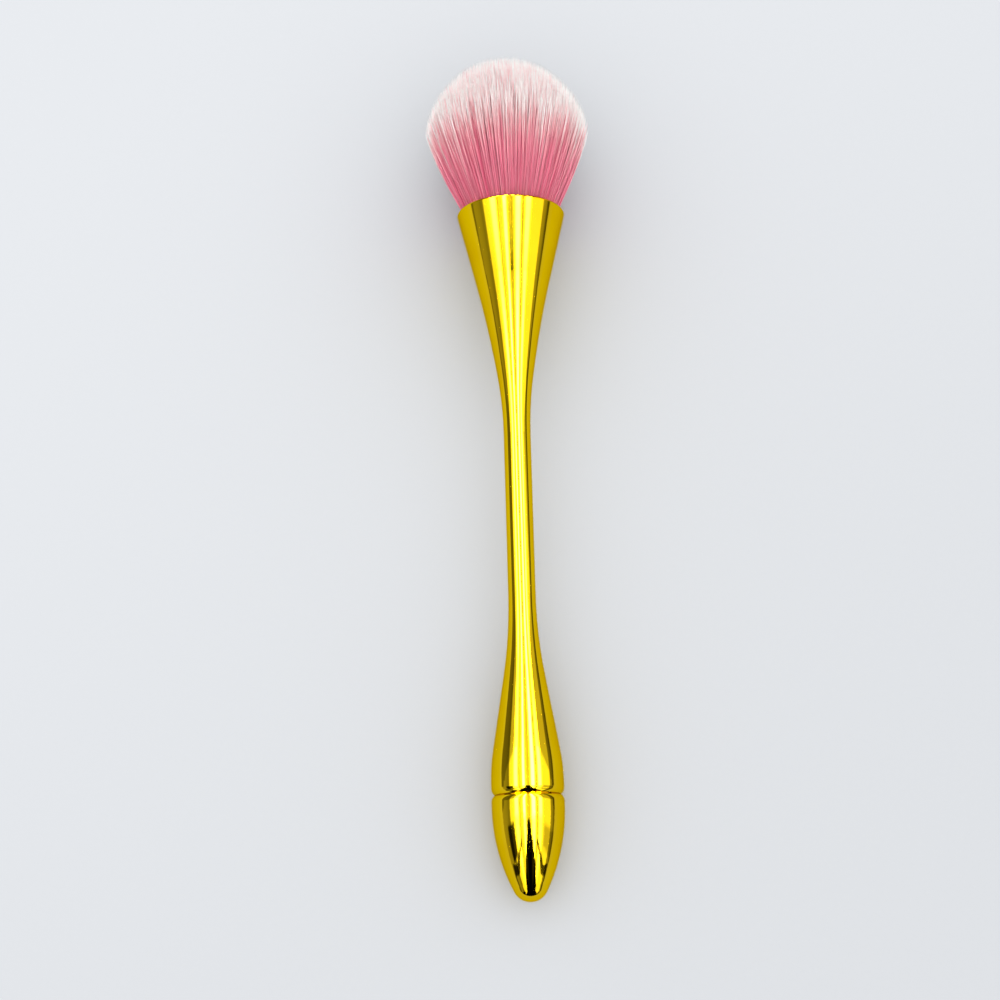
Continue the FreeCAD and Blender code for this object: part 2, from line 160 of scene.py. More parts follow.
class StageSizes(bpy.types.PropertyGroup):
    """Table, light and camera."""

    table_colour: bpy.props.FloatVectorProperty(
        name="Table", description="Pale table", default=(0.418, 0.430, 0.448), subtype="COLOR", min=0, max=1
    )
    light: bpy.props.FloatProperty(
        name="Light", description="Brightness of the tent round the table", default=1.0, min=0
    )
    lens: bpy.props.FloatProperty(
        name="Lens", description="Focal length in millimetres", default=64.08, min=10, max=300
    )
    elevation: bpy.props.FloatProperty(
        name="Elevation", description="Camera above the table",
        default=math.radians(72.9), subtype="ANGLE",
    )
    distance: bpy.props.FloatProperty(
        name="Distance", description="Camera to the brush", default=0.3419, unit="LENGTH", precision=4
    )
    roll: bpy.props.FloatProperty(
        name="Roll", description="How far the brush leans to the left in the view",
        default=math.radians(1.56), subtype="ANGLE",
    )
    offset: bpy.props.FloatProperty(
        name="Offset", description="How far the brush stands right of the view's middle",
        default=3.67 * MM, unit="LENGTH", precision=5,
    )


# ---------------------------------------------------------------- building blocks

RAMP_SPAN = 240.0  # degrees that a profile's colour ramp runs over, with 0 in its middle


def place(across, above, along):
    """Points from distances across, above and along the brush, counted from the mouth's middle."""
    return (
        MOUTH
        + across[..., None] * ACROSS
        + above[..., None] * ABOVE
        + along[..., None] * ALONG
    )


def put_mesh(name, points, quads, triangles, material):
    """A mesh object at the origin from whole arrays of corners, four-sided and three-sided faces."""
    mesh = bpy.data.meshes.new(name)
    corners = np.concatenate([quads.ravel(), triangles.ravel()]).astype(np.int32)
    sides = np.concatenate([np.full(len(quads), 4), np.full(len(triangles), 3)])
    starts = np.concatenate([[0], np.cumsum(sides)[:-1]]).astype(np.int32)
    mesh.vertices.add(len(points))
    mesh.vertices.foreach_set("co", points.astype(np.float32).ravel())
    mesh.loops.add(len(corners))
    mesh.loops.foreach_set("vertex_index", corners)
    mesh.polygons.add(len(sides))
    mesh.polygons.foreach_set("loop_start", starts)
    mesh.polygons.foreach_set("use_smooth", np.ones(len(sides), bool))
    mesh.update(calc_edges=True)
    mesh.materials.append(material)
    piece = bpy.data.objects.new(name, mesh)
    bpy.context.scene.collection.objects.link(piece)
    return piece, corners


def add_node(tree, kind, inputs=(), **settings):
    """A node with its settings, each input either linked to another node's output or set to a value."""
    node = tree.nodes.new("ShaderNode" + kind)
    for name, value in settings.items():
        setattr(node, name, value)
    for socket, value in dict(inputs).items():
        if isinstance(value, bpy.types.NodeSocket):
            tree.links.new(value, node.inputs[socket])
        else:
            node.inputs[socket].default_value = value
    return node


def maths(tree, operation, *values):
    """Output of a Math node on those values or sockets."""
    return add_node(tree, "Math", enumerate(values), operation=operation).outputs[0]


def times(tree, product, *factors):
    """Product of values or sockets, multiplied from the left."""
    for factor in factors:
        product = maths(tree, "MULTIPLY", product, factor)
    return product


def angle(tree, operation, *values):
    """An inverse trigonometric function of values or sockets, in degrees."""
    return times(tree, maths(tree, operation, *values), 180 / math.pi)


def step(tree, value, low, high, out_low=0.0, out_high=1.0):
    """Smooth step of a value from low to high. It falls where low is the larger."""
    return add_node(
        tree, "MapRange",
        {"Value": value, "From Min": low, "From Max": high, "To Min": out_low, "To Max": out_high},
        interpolation_type="SMOOTHSTEP",
    ).outputs[0]


def between(tree, value, low, high, soft):
    """1 between two values and 0 outside them, with soft steps of that width."""
    return times(
        tree,
        step(tree, maths(tree, "SUBTRACT", value, low), 0.0, soft),
        step(tree, maths(tree, "SUBTRACT", high, value), 0.0, soft),
    )


def profile(tree, degrees, strongest, stops):
    """A level that runs through (degrees, level) stops, from a colour ramp of levels over the strongest."""
    ramp = colour_ramp(
        tree, maths(tree, "ADD", maths(tree, "DIVIDE", degrees, RAMP_SPAN), 0.5),
        tuple((0.5 + at / RAMP_SPAN, level / strongest) for at, level in stops),
    )
    return times(tree, ramp, strongest)


def colour_ramp(tree, factor, stops):
    """A colour ramp with (place, colour) stops, where a colour may be a single grey number."""
    node = add_node(tree, "ValToRGB", {"Fac": factor})
    elements = node.color_ramp.elements
    while len(elements) < len(stops):
        elements.new(1.0)
    for element, (at, colour) in zip(elements, stops):
        element.position = at
        grey = isinstance(colour, (int, float))
        element.color = (colour,) * 3 + (1,) if grey else (*colour, 1)
    return node.outputs[0]


def new_material(name, **values):
    """A material with a Principled shader. Values are set on the shader's own sockets."""
    material = bpy.data.materials.new(name)
    material.use_nodes = True
    shader = material.node_tree.nodes["Principled BSDF"]
    for socket, value in values.items():
        shader.inputs[socket.replace("_", " ")].default_value = value
    return material, material.node_tree, shader


def object_place(tree):
    """Object coordinates."""
    return add_node(tree, "TexCoord").outputs["Object"]


def object_noise(tree, scale, detail=2.0, roughness=0.5, stretch=(1, 1, 1)):
    """Noise on Object coordinates, scale in cells per metre, stretched along the axes by a Mapping node."""
    turned = add_node(tree, "Mapping", {"Vector": object_place(tree), "Scale": stretch}).outputs[0]
    return add_node(
        tree, "TexNoise", {"Vector": turned, "Scale": scale, "Detail": detail, "Roughness": roughness}
    ).outputs["Fac"]


def bump(tree, height, distance, normal=None):
    """Bump of that many metres for a height of 1."""
    inputs = {"Height": height, "Distance": distance, "Strength": 1.0}
    if normal:
        inputs["Normal"] = normal
    return add_node(tree, "Bump", inputs).outputs[0]


def mix(tree, factor, first, second):
    """Colour mix of two colours or sockets."""
    node = tree.nodes.new("ShaderNodeMix")
    node.data_type = "RGBA"
    for socket, value in ((node.inputs[0], factor), (node.inputs[6], first), (node.inputs[7], second)):
        if isinstance(value, bpy.types.NodeSocket):
            tree.links.new(value, socket)
        else:
            socket.default_value = (*value, 1) if isinstance(value, (tuple, list)) else value
    return node.outputs[2]


def finish_nodes(names, material):
    """Gives CAD nodes a finish through their own material slots."""
    for name in names:
        for held in frame["nodes"][name].material_slots:
            held.material = material


# ---------------------------------------------------------------- finishes

# Fineness of the patterns, in cells per metre.
GOLD_CLOUDS, GOLD_RUBS, GOLD_WAVES, GOLD_PINHOLES = 90.0, 600.0, 420.0, 230.0
RESIN_CLOUDS, RESIN_BUBBLES = 700.0, 1500.0
THREAD_FUZZ, TABLE_GRAIN = 9000.0, 900.0

# Depths and heights of the patterns.
PINHOLE_DEPTH, BUBBLE_HEIGHT, PLY_HEIGHT, GRAIN_HEIGHT = 0.02 * MM, 0.03 * MM, 0.03 * MM, 0.01 * MM

RUBBED = 2.2  # roughness of a rub mark, over that of the plating
PINHOLE_SIZE = (0.02, 0.06)  # a pinhole's floor and rim, in cells
PINHOLE_FREE = 0.72  # share of the cells without a pinhole
PLIES_ROUND, PLIES_ALONG = 60.0, 9000.0  # radians of ply pattern per radian round and per metre along

# Colours in pairs: clear and milky, or the ply's painted shade and painted light.
ADHESIVE = (0.62, 0.50, 0.30), (0.80, 0.72, 0.55)
POTTING = (0.45, 0.12, 0.16), (0.68, 0.35, 0.36)
COTTON_PLY_SHADING = (0.50, 0.42, 0.33), (0.82, 0.77, 0.68)

# Where along the dye a filament has each of its four colours.
TIP_END, BLUSH_AT, DYE_AT = 0.07, 0.25, 0.50
PALE_MIX, ROOT_SHADE_MIX = 0.24, 0.55  # how far a pale filament goes to the tip colour, and how far the lower part goes to the dark root colour as painted shade


def plating_material(look):
    """Bright gold plating: slow waves, faint rub marks and a few pinholes."""
    material, tree, shader = new_material(
        "gold_plating", Metallic=1.0, Specular_Tint=(*look.edge_tint, 1.0)
    )
    cloud = object_noise(tree, GOLD_CLOUDS, detail=3.0)
    tree.links.new(
        mix(tree, step(tree, cloud, 0.35, 0.7), tuple(look.gold), tuple(look.deep_gold)),
        shader.inputs["Base Color"],
    )
    rub = object_noise(tree, GOLD_RUBS, detail=4.0, roughness=0.65, stretch=(1.0, 0.25, 1.0))
    tree.links.new(
        step(tree, rub, 0.3, 0.8, look.polish, look.polish * RUBBED), shader.inputs["Roughness"]
    )
    waves = bump(tree, object_noise(tree, GOLD_WAVES, detail=1.5), look.orange_peel)
    cells = add_node(
        tree, "TexVoronoi", {"Vector": object_place(tree), "Scale": GOLD_PINHOLES, "Randomness": 1.0}
    )
    near = step(tree, cells.outputs["Distance"], *PINHOLE_SIZE, 1.0, 0.0)
    number = add_node(tree, "SeparateColor", {"Color": cells.outputs["Color"]}).outputs[0]
    pinholes = times(tree, near, maths(tree, "GREATER_THAN", number, PINHOLE_FREE))
    tree.links.new(bump(tree, pinholes, -PINHOLE_DEPTH, waves), shader.inputs["Normal"])
    return material


def resin_material(name, clear, milky):
    """Set resin or adhesive: a cloudy colour with small bubbles."""
    material, tree, shader = new_material(name, Roughness=0.28, IOR=1.52, Coat_Weight=0.4)
    cloud = object_noise(tree, RESIN_CLOUDS, detail=3.0)
    bubbles = add_node(
        tree, "TexVoronoi", {"Vector": object_place(tree), "Scale": RESIN_BUBBLES}
    ).outputs["Distance"]
    tree.links.new(mix(tree, step(tree, cloud, 0.3, 0.7), clear, milky), shader.inputs["Base Color"])
    tree.links.new(bump(tree, step(tree, bubbles, 0.1, 0.3), BUBBLE_HEIGHT), shader.inputs["Normal"])
    return material


def thread_material():
    """Twisted cotton thread: plies that cross the thread's turns at a slant, painted dark in their grooves and
    pale on their crests as painted shade and light, with soft fuzz.
    """
    material, tree, shader = new_material("cotton_thread", Roughness=0.85, Sheen_Weight=0.4)
    middle = add_node(
        tree, "Mapping", {"Vector": object_place(tree), "Location": tuple(-MOUTH)}
    ).outputs[0]
    split = add_node(tree, "SeparateXYZ", {"Vector": middle})
    turn = maths(tree, "ARCTAN2", split.outputs["X"], split.outputs["Z"])
    slant = maths(
        tree, "ADD", times(tree, turn, PLIES_ROUND), times(tree, split.outputs["Y"], PLIES_ALONG)
    )
    plies = maths(tree, "SINE", slant)
    # Painted shade and light: each ply is dark in its groove and pale on its crest.
    tree.links.new(mix(tree, step(tree, plies, -1.0, 1.0), *COTTON_PLY_SHADING), shader.inputs["Base Color"])
    fuzz = maths(tree, "ADD", plies, object_noise(tree, THREAD_FUZZ))
    tree.links.new(bump(tree, fuzz, PLY_HEIGHT), shader.inputs["Normal"])
    return material


def filament_material(look):
    """Soft nylon, white at the tip and pink below, with painted shade that darkens it towards the cup. Dye and
    tint come with each filament.
    """
    material, tree, shader = new_material(
        "dyed_nylon", Roughness=0.55, IOR=1.5, Specular_IOR_Level=0.06
    )
    dye = add_node(tree, "Attribute", attribute_name="dye").outputs["Fac"]
    tint = add_node(tree, "Attribute", attribute_name="tint").outputs["Fac"]
    body = colour_ramp(tree, dye, (
        (0.0, tuple(look.tip_colour)),
        (TIP_END, tuple(look.tip_colour)),
        (BLUSH_AT, tuple(look.blush_colour)),
        (DYE_AT, tuple(look.dye_colour)),
        (1.0, tuple(look.root_shade_colour)),
    ))
    pale = mix(tree, PALE_MIX, body, tuple(look.tip_colour))
    # Painted shade: the lower part of each filament is mixed towards the dark root colour.
    root_shaded = mix(tree, ROOT_SHADE_MIX, body, tuple(look.root_shade_colour))
    shaded = mix(tree, step(tree, dye, 0.1, 0.5), body, root_shaded)
    tree.links.new(mix(tree, tint, shaded, pale), shader.inputs["Base Color"])
    return material


# ---------------------------------------------------------------- filaments

# Stations of a filament: two inside the cup, then shares of the way from the mouth to the tip.
INSIDE = np.array([-7.1 * MM, -4.4 * MM])
STATIONS = np.array([0.0, 0.15, 0.32, 0.5, 0.66, 0.8, 0.91, 1.0])

# Outlines: the dome's edge and top, the flare above the cup and the lean of the whole tuft.
DOME_EDGE_POWER, DOME_TOP_POWER, FLARE_POWER, LEAN_POWER = 2.3, 0.715, 1.25, 1.3
FARTHEST = 1.015  # no filament strays further from the middle, as a share of the widest radius

# Spread of places on the disc: turns in radians, and shares of the radius.
ROOT_TURN_SPREAD, LOCK_TURN_SPREAD, SHARE_SPREAD = 0.03, 0.01, 0.006

# How the filaments of a lock go together, and how each goes its own way.
LOCK_PULL = (0.15, 0.6)  # least and most of the way to the lock's middle
GATHER_POWER, STRAY_POWER = 0.85, 1.6
LOCK_DRIFT, OWN_DRIFT, WAVER = 0.006, 0.012, 0.010
WAVER_RADIANS = (3.0, 7.0)
LOCK_LENGTH, OWN_LENGTH = 0.12 * MM, 0.4 * MM
SHORT_CHANCE, SHORT_BY, PROUD_BY = 0.3, 4.5 * MM, 0.8 * MM  # the most that one lacks or stands proud
LOCK_DYE, OWN_DYE, CUT_DYE = 1.3 * MM, 0.9 * MM, 0.4  # CUT_DYE is the share of a cut that lowers the dye
FADE_BASE, FADE_OUTER, FADE_POWER = 0.97, 0.36, 6  # the dye comes in more slowly on the outside
LOCK_TINT, OWN_TINT = 0.4, 0.6
FLAT_SOFTNESS = 0.45 * MM  # how gradually filaments come to lie on the table

# A tube: its taper towards the tip, its thickness among its fellows and its place in the map.
TAPER_LENGTH, TAPER_POWER, TIP_WIDTH = 9.0 * MM, 0.8, 0.22
THINNEST, THICKEST = 0.85, 1.15
CHART_EDGE, CHART_SIZE, CHART_TUBE = 0.02, 0.96, 0.004


def dome_height(share, look):
    """Height of the tips over the mouth for a share of the widest radius.

    It is the widest ring's height, plus the dome's own times (1 - share ^ 2.3) ^ 0.715.
    """
    steep = np.clip(1.0 - np.clip(share, 0.0, 1.0) ** DOME_EDGE_POWER, 0.0, 1.0)
    return look.widest_height + (look.height - look.widest_height) * steep**DOME_TOP_POWER


def golden_spiral(count, turn_spread, chance):
    """Turns and shares of the radius that fill a disc evenly, each a little off its place.

    Point n has n times the golden angle, pi (3 - root 5), and the root of (n + 1/2) / count.
    """
    number = np.arange(count)
    turn = number * math.pi * (3 - math.sqrt(5)) + chance.normal(0, turn_spread, count)
    share = np.sqrt((number + 0.5) / count) + chance.normal(0, SHARE_SPREAD, count)
    return turn, share


def on_disc(turn, share):
    """Points at those turns and shares of the radius."""
    return share[:, None] * np.stack([np.cos(turn), np.sin(turn)], 1)


def filament_lines(look, chance):
    """Centre lines of all filaments, by filament, station and axis, with their dye and tint.

    Roots and the middles of the locks lie on golden-angle spirals, evenly over the mouth. Each filament
    goes straight through the neck, opens out with the cup, and flares as 1 - (1 - station) ^ 1.25 until
    its tip meets the dome. It is drawn to the middle of its lock by sin(pi station ^ 0.85), most at mid
    length, strays as station ^ 1.6, and wavers more towards the tip. Filaments at the table's height lie
    flat on it: a height z above one thickness becomes s ln(1 + e ^ (z / s)), with s a softness.
    """
    count = look.filaments
    turn, root_share = golden_spiral(count, ROOT_TURN_SPREAD, chance)
    root_share = np.clip(np.abs(root_share), 0.001, 1.0)
    root = on_disc(turn, root_share)

    lock_place = on_disc(*golden_spiral(look.bundles, LOCK_TURN_SPREAD, chance))
    chosen = np.concatenate([
        np.argmin(((some[:, None, :] - lock_place) ** 2).sum(2), 1)
        for some in np.array_split(root.astype(np.float32), 16)
    ])
    lock_pull = chance.uniform(*LOCK_PULL, look.bundles)[chosen]
    lock_length = chance.normal(0, LOCK_LENGTH, look.bundles)[chosen]
    lock_dye = chance.normal(0, LOCK_DYE, look.bundles)[chosen]
    lock_tint = chance.uniform(0, 1, look.bundles)[chosen]
    lock_drift = chance.normal(0, LOCK_DRIFT, (look.bundles, 2))[chosen]

    cut = np.abs(chance.normal(0, OWN_LENGTH, count)) + lock_length
    short = chance.uniform(0, 1, count) < SHORT_CHANCE
    cut += np.where(short, chance.uniform(0, SHORT_BY, count), 0.0)
    cut = np.maximum(cut, -PROUD_BY)

    drift = lock_drift + chance.normal(0, OWN_DRIFT, (count, 2))
    gather = np.sin(math.pi * STATIONS**GATHER_POWER)[None, :, None]
    astray = STATIONS[None, :, None] ** STRAY_POWER
    waver = chance.normal(0, WAVER, (count, 1, 2)) * np.sin(
        STATIONS[None, :, None] * chance.uniform(*WAVER_RADIANS, (count, 1, 1))
        + chance.uniform(0, 6, (count, 1, 1))
    ) * STATIONS[None, :, None]
    drawn = ((lock_place[chosen] - root) * lock_pull[:, None])[:, None, :]
    spot = root[:, None, :] + gather * drawn + astray * drift[:, None, :] + waver
    share = np.linalg.norm(spot, axis=2)
    heading = spot / np.maximum(share, 1e-6)[..., None]
    share = np.minimum(share, FARTHEST)

    reach = dome_height(np.minimum(share[:, -1], 1.0), look)
    kept = 1.0 - cut / reach
    along = STATIONS[None, :] * (kept * reach)[:, None]
    flare = 1.0 - (1.0 - np.clip(STATIONS[None, :] * kept[:, None], 0, 1)) ** FLARE_POWER
    radius = share * (look.mouth_radius + (look.widest_radius - look.mouth_radius) * flare)
    across = heading[..., 0] * radius - look.lean * (along / look.widest_height) ** LEAN_POWER
    above = heading[..., 1] * radius

    first = root[:, None, :] * look.neck_radius * np.ones((1, len(INSIDE), 1))
    across = np.concatenate([first[..., 0], across], 1)
    above = np.concatenate([first[..., 1], above], 1)
    along = np.concatenate([np.broadcast_to(INSIDE, (count, len(INSIDE))), along], 1)
    lines = place(across, above, along)
    lift = look.thickness
    lines[..., 2] = lift + FLAT_SOFTNESS * np.logaddexp(0, (lines[..., 2] - lift) / FLAT_SOFTNESS)

    lengths = np.linalg.norm(np.diff(lines, axis=1), axis=2)
    from_tip = np.concatenate([np.cumsum(lengths[:, ::-1], 1)[:, ::-1], np.zeros((count, 1))], 1)
    edge = from_tip + (lock_dye + chance.normal(0, OWN_DYE, count) - CUT_DYE * cut)[:, None]
    fade = look.fade * (FADE_BASE + FADE_OUTER * root_share**FADE_POWER)
    dye = np.clip(edge / fade[:, None], 0, 1)
    tint = np.clip(LOCK_TINT * lock_tint + OWN_TINT * chance.uniform(0, 1, count), 0, 1)
    return lines, from_tip, dye, tint, root_share


def grow_filaments(name, lines, from_tip, dye, tint, thickness, material, chance):
    """Three-sided tubes along the lines, closed at the root, tapered to the tip and closed in a point.

    A corner is the line's point plus the radius times the cosine and sine of its turn, along the two
    directions square to the line. The map holds tint across and dye up, so that like colours share a place.
    """
    count, stations = from_tip.shape
    ahead = np.gradient(lines, axis=1)
    ahead /= np.linalg.norm(ahead, axis=2, keepdims=True)
    side = np.cross(ahead, ABOVE)
    side /= np.linalg.norm(side, axis=2, keepdims=True)
    other = np.cross(ahead, side)
    turns = chance.uniform(0, 2 * math.pi, (count, 1, 1)) + np.arange(3) * 2 * math.pi / 3
    taper = TIP_WIDTH + (1 - TIP_WIDTH) * np.clip(from_tip / TAPER_LENGTH, 0, 1) ** TAPER_POWER
    radius = thickness / 2 * taper * chance.uniform(THINNEST, THICKEST, (count, 1))
    radius = radius[:, :-1, None, None]
    rings = (
        lines[:, :-1, None, :]
        + radius * np.cos(turns)[..., None] * side[:, :-1, None, :]
        + radius * np.sin(turns)[..., None] * other[:, :-1, None, :]
    )
    rows = stations - 1
    points = np.concatenate([rings.reshape(count, rows * 3, 3), lines[:, -1:, :]], 1)
    per = rows * 3 + 1
    start = np.arange(count)[:, None, None, None] * per
    row = np.arange(rows - 1)[None, :, None, None] * 3
    here, following = np.arange(3), (np.arange(3) + 1) % 3
    pattern = np.stack([here, following, following + 3, here + 3], 1)[None, None]
    quads = (start + row + pattern).reshape(-1, 4)
    top = (rows - 1) * 3
    tips = np.stack([here + top, following + top, np.full(3, rows * 3)], 1)
    root = np.array([[2, 1, 0]])
    ends = np.concatenate([tips, root])[None]
    triangles = (np.arange(count)[:, None, None] * per + ends).reshape(-1, 3)
    piece, corners = put_mesh(name, points.reshape(-1, 3), quads, triangles, material)

    tube = np.repeat(np.arange(rows), 3)
    spread = np.concatenate([dye[:, :-1][:, tube], dye[:, -1:]], 1)
    per_point = np.broadcast_to(tint[:, None], (count, per))
    for label, values in (("dye", spread), ("tint", per_point)):
        held = piece.data.attributes.new(label, "FLOAT", "POINT")
        held.data.foreach_set("value", values.astype(np.float32).ravel())
    column = np.concatenate([np.tile(np.array([-CHART_TUBE, 0.0, CHART_TUBE]), rows), [0.0]])
    chart = np.stack([
        CHART_EDGE + CHART_SIZE * per_point + column, CHART_EDGE + CHART_SIZE * spread
    ], -1).reshape(-1, 2)
    chart_map = piece.data.uv_layers.new(name="OFBake")
    chart_map.uv.foreach_set("vector", chart[corners].astype(np.float32).ravel())
    return piece


# ---------------------------------------------------------------- table, light and camera

TABLE_SIZE = 8.0
TABLE_SLOPE = 0.6  # painted shade makes the table darker towards +X and -Y, in this proportion
TABLE_LIGHT_FALLOFF, TABLE_SHADE_REACH = (-0.16, 0.18), (0.25, 1.2)  # where the painted shade comes in, and where it ends far away
# Painted light and painted shade: the table's colour on its lit and its shaded side.
TABLE_PAINTED_LIT, TABLE_PAINTED_SHADE = 1.05, 0.95
GRAIN_COLOUR, GRAIN_SHARE = (0.5, 0.5, 0.52), 0.03

# Levels round the brush's axis, as (degrees from overhead, level): left below 0, right above.
ROOF_STRONGEST, LAMPS_STRONGEST = 1.8, 60.0
ROOF = (
    (-90.5, 0.75), (-88, 0.42), (-76, 0.38), (-68.5, 0.32), (-67, 0.23), (-65.5, 0.30), (-61.5, 0.26),
    (-58.5, 1.6), (-45, 1.8), (-31, 1.75), (-28.3, 0.95), (-25.5, 1.7), (-8, 1.6), (-3, 1.45), (0, 1.45),
    (1.5, 0.6), (3, 1.45), (8, 1.7), (24, 1.7), (26.8, 0.7), (29, 1.75), (48, 1.7), (66, 1.7), (72, 1.7),
    (74.5, 0.48), (78, 0.43), (80, 0.42), (82, 0.38), (84, 0.22), (88, 0.20), (90.5, 0.75),
)
LAMPS = (
    (-46, 0), (-40, 16), (-34, 16), (-30, 0), (-18, 0), (-15, 32), (-11, 32), (-8, 0), (8, 0),
    (13, 30), (19, 34), (23, 0), (31, 0), (35, 16), (41, 16), (46, 0),
)

# The rest of the tent. Two numbers are where a smooth step starts and ends, and four are a step with its
# value before and after. Three are a band's two sides and its softness. Those named LEAN are shares of 1
# and the lamps' last two are strengths. The others are degrees.
LAMPS_END, LAMPS_NEAR_TAIL = (60.0, 35.0), (11.0, 3.0, 0.8, 2.0)
FAR_SIDES_ROUND, FAR_SIDES_TILT = (28.0, 36.0), (-21.0, -29.0)
LEFT_SIDE_ROUND, LEFT_SIDE_LEAN = (-76.0, -46.0, 6.0), (0.11, 0.52, 0.07)
RIGHT_SIDE_ROUND, RIGHT_SIDE_LEAN = (44.0, 56.0), (0.12, 0.45, 0.1)
FIGURE_RIGHT, FIGURE_LEFT = (82.0, 66.0, 19.0, 31.0), (25.0, 19.0, -26.0, -40.0)
FIGURE_TOP, FIGURE_SOFT = (83.0, 79.0), 3.0
SLIT_BEARING, SLIT_TOP = (-28.0, -21.0, 1.5), (34.0, 28.0)
EDGES_BEARING, EDGES_WIDTH, EDGES_RISE = (28.0, 4.0, 51.0, 60.0), (-5.0, 4.0, 1.5), (3.0, 56.0, 3.0)
LOW_BEARING, LOW_TOP = (-62.0, 62.0, 4.0), (10.0, 4.0)

# Share of its light that each of those keeps.
FAR_SIDES_KEPT, LEFT_SIDE_KEPT, RIGHT_SIDE_KEPT = 0.45, 0.04, 0.5
FIGURE_KEPT, EDGES_KEPT, LOW_KEPT = 0.001, 0.05, 0.35

EVEN_DOME = (-0.1, 0.6, 1.25, 1.92)  # the even light's two heights and their levels
BACKDROP = (0.79, 0.815, 0.845, 1.0)

AIM = (134.0 - 75.4) * MM  # from the mouth towards the tail, to where the camera looks
SENSOR_WIDTH = 36.0
NEAREST, FURTHEST = 0.01, 20.0


def table_top(size, colour):
    """A large flat table at height 0, with painted shade that makes it a little darker to one side, and the
    faintest paper grain.
    """
    material, tree, shader = new_material("table_paper", Roughness=0.9, Specular_IOR_Level=0.0)
    grain = object_noise(tree, TABLE_GRAIN, detail=2.0)
    split = add_node(tree, "SeparateXYZ", {"Vector": object_place(tree)})
    slope = maths(tree, "SUBTRACT", times(tree, split.outputs["X"], TABLE_SLOPE), split.outputs["Y"])
    near = step(tree, maths(tree, "ABSOLUTE", slope), *TABLE_SHADE_REACH, 1.0, 0.0)
    # Painted shade: a falloff of light across the table, darker to one side.
    painted_falloff = times(tree, maths(tree, "SUBTRACT", step(tree, slope, *TABLE_LIGHT_FALLOFF), 0.5), near)
    light, dark = (tuple(c * k for c in colour) for k in (TABLE_PAINTED_LIT, TABLE_PAINTED_SHADE))
    base = mix(tree, maths(tree, "ADD", painted_falloff, 0.5), light, dark)
    tree.links.new(
        mix(tree, step(tree, grain, 0.2, 0.8, 0.0, GRAIN_SHARE), base, GRAIN_COLOUR),
        shader.inputs["Base Color"],
    )
    tree.links.new(bump(tree, grain, GRAIN_HEIGHT), shader.inputs["Normal"])
    half = size / 2
    points = np.array([[-half, -half, 0], [half, -half, 0], [half, half, 0], [-half, half, 0]])
    table, _ = put_mesh("table", points, np.array([[0, 1, 2, 3]]), np.zeros((0, 3), int), material)
    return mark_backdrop(table)


def tent_level(tree, x, y, z):
    """Level of the tent in the reflections, for a direction's three parts.

    A direction is read as its angle round the brush's axis and its tilt towards the tail, or as its
    bearing from the tail's end and its rise over the table, all in degrees, or as its lean, which is -y.
    """
    lean = times(tree, y, -1.0)
    round_axis = angle(tree, "ARCTAN2", x, z)
    tilt = angle(tree, "ARCTAN2", lean, z)
    bearing = angle(tree, "ARCTAN2", x, lean)
    rise = angle(tree, "ARCSINE", z)

    roof = profile(tree, round_axis, ROOF_STRONGEST, ROOF)
    lamps = times(
        tree, profile(tree, round_axis, LAMPS_STRONGEST, LAMPS),
        step(tree, tilt, *LAMPS_END), step(tree, tilt, *LAMPS_NEAR_TAIL),
    )
    level = maths(tree, "ADD", roof, lamps)

    # Away from the tail the roof's sides are dimmer. Towards it they darken, more on the left.
    far_sides = times(
        tree, step(tree, maths(tree, "ABSOLUTE", round_axis), *FAR_SIDES_ROUND),
        step(tree, tilt, *FAR_SIDES_TILT),
    )
    left_side = times(
        tree, between(tree, round_axis, *LEFT_SIDE_ROUND), between(tree, lean, *LEFT_SIDE_LEAN)
    )
    right_side = times(
        tree, step(tree, round_axis, *RIGHT_SIDE_ROUND), between(tree, lean, *RIGHT_SIDE_LEAN)
    )

    # The opening towards the tail: a dark middle with a slit of light, two edges and a dark lower part.
    left_reach, right_reach = step(tree, rise, *FIGURE_LEFT), step(tree, rise, *FIGURE_RIGHT)
    slit = times(tree, between(tree, bearing, *SLIT_BEARING), step(tree, rise, *SLIT_TOP))
    figure = times(
        tree, between(tree, bearing, left_reach, right_reach, FIGURE_SOFT),
        step(tree, rise, *FIGURE_TOP), maths(tree, "SUBTRACT", 1.0, slit),
    )
    off_edge = maths(
        tree, "SUBTRACT", maths(tree, "ABSOLUTE", bearing), step(tree, rise, *EDGES_BEARING)
    )
    edges = times(tree, between(tree, off_edge, *EDGES_WIDTH), between(tree, rise, *EDGES_RISE))
    low = times(tree, between(tree, bearing, *LOW_BEARING), step(tree, rise, *LOW_TOP))

    for share, kept in (
        (far_sides, FAR_SIDES_KEPT), (left_side, LEFT_SIDE_KEPT), (right_side, RIGHT_SIDE_KEPT),
        (figure, FIGURE_KEPT), (edges, EDGES_KEPT), (low, LOW_KEPT),
    ):
        level = times(tree, level, step(tree, share, 0.0, 1.0, 1.0, kept))
    return level


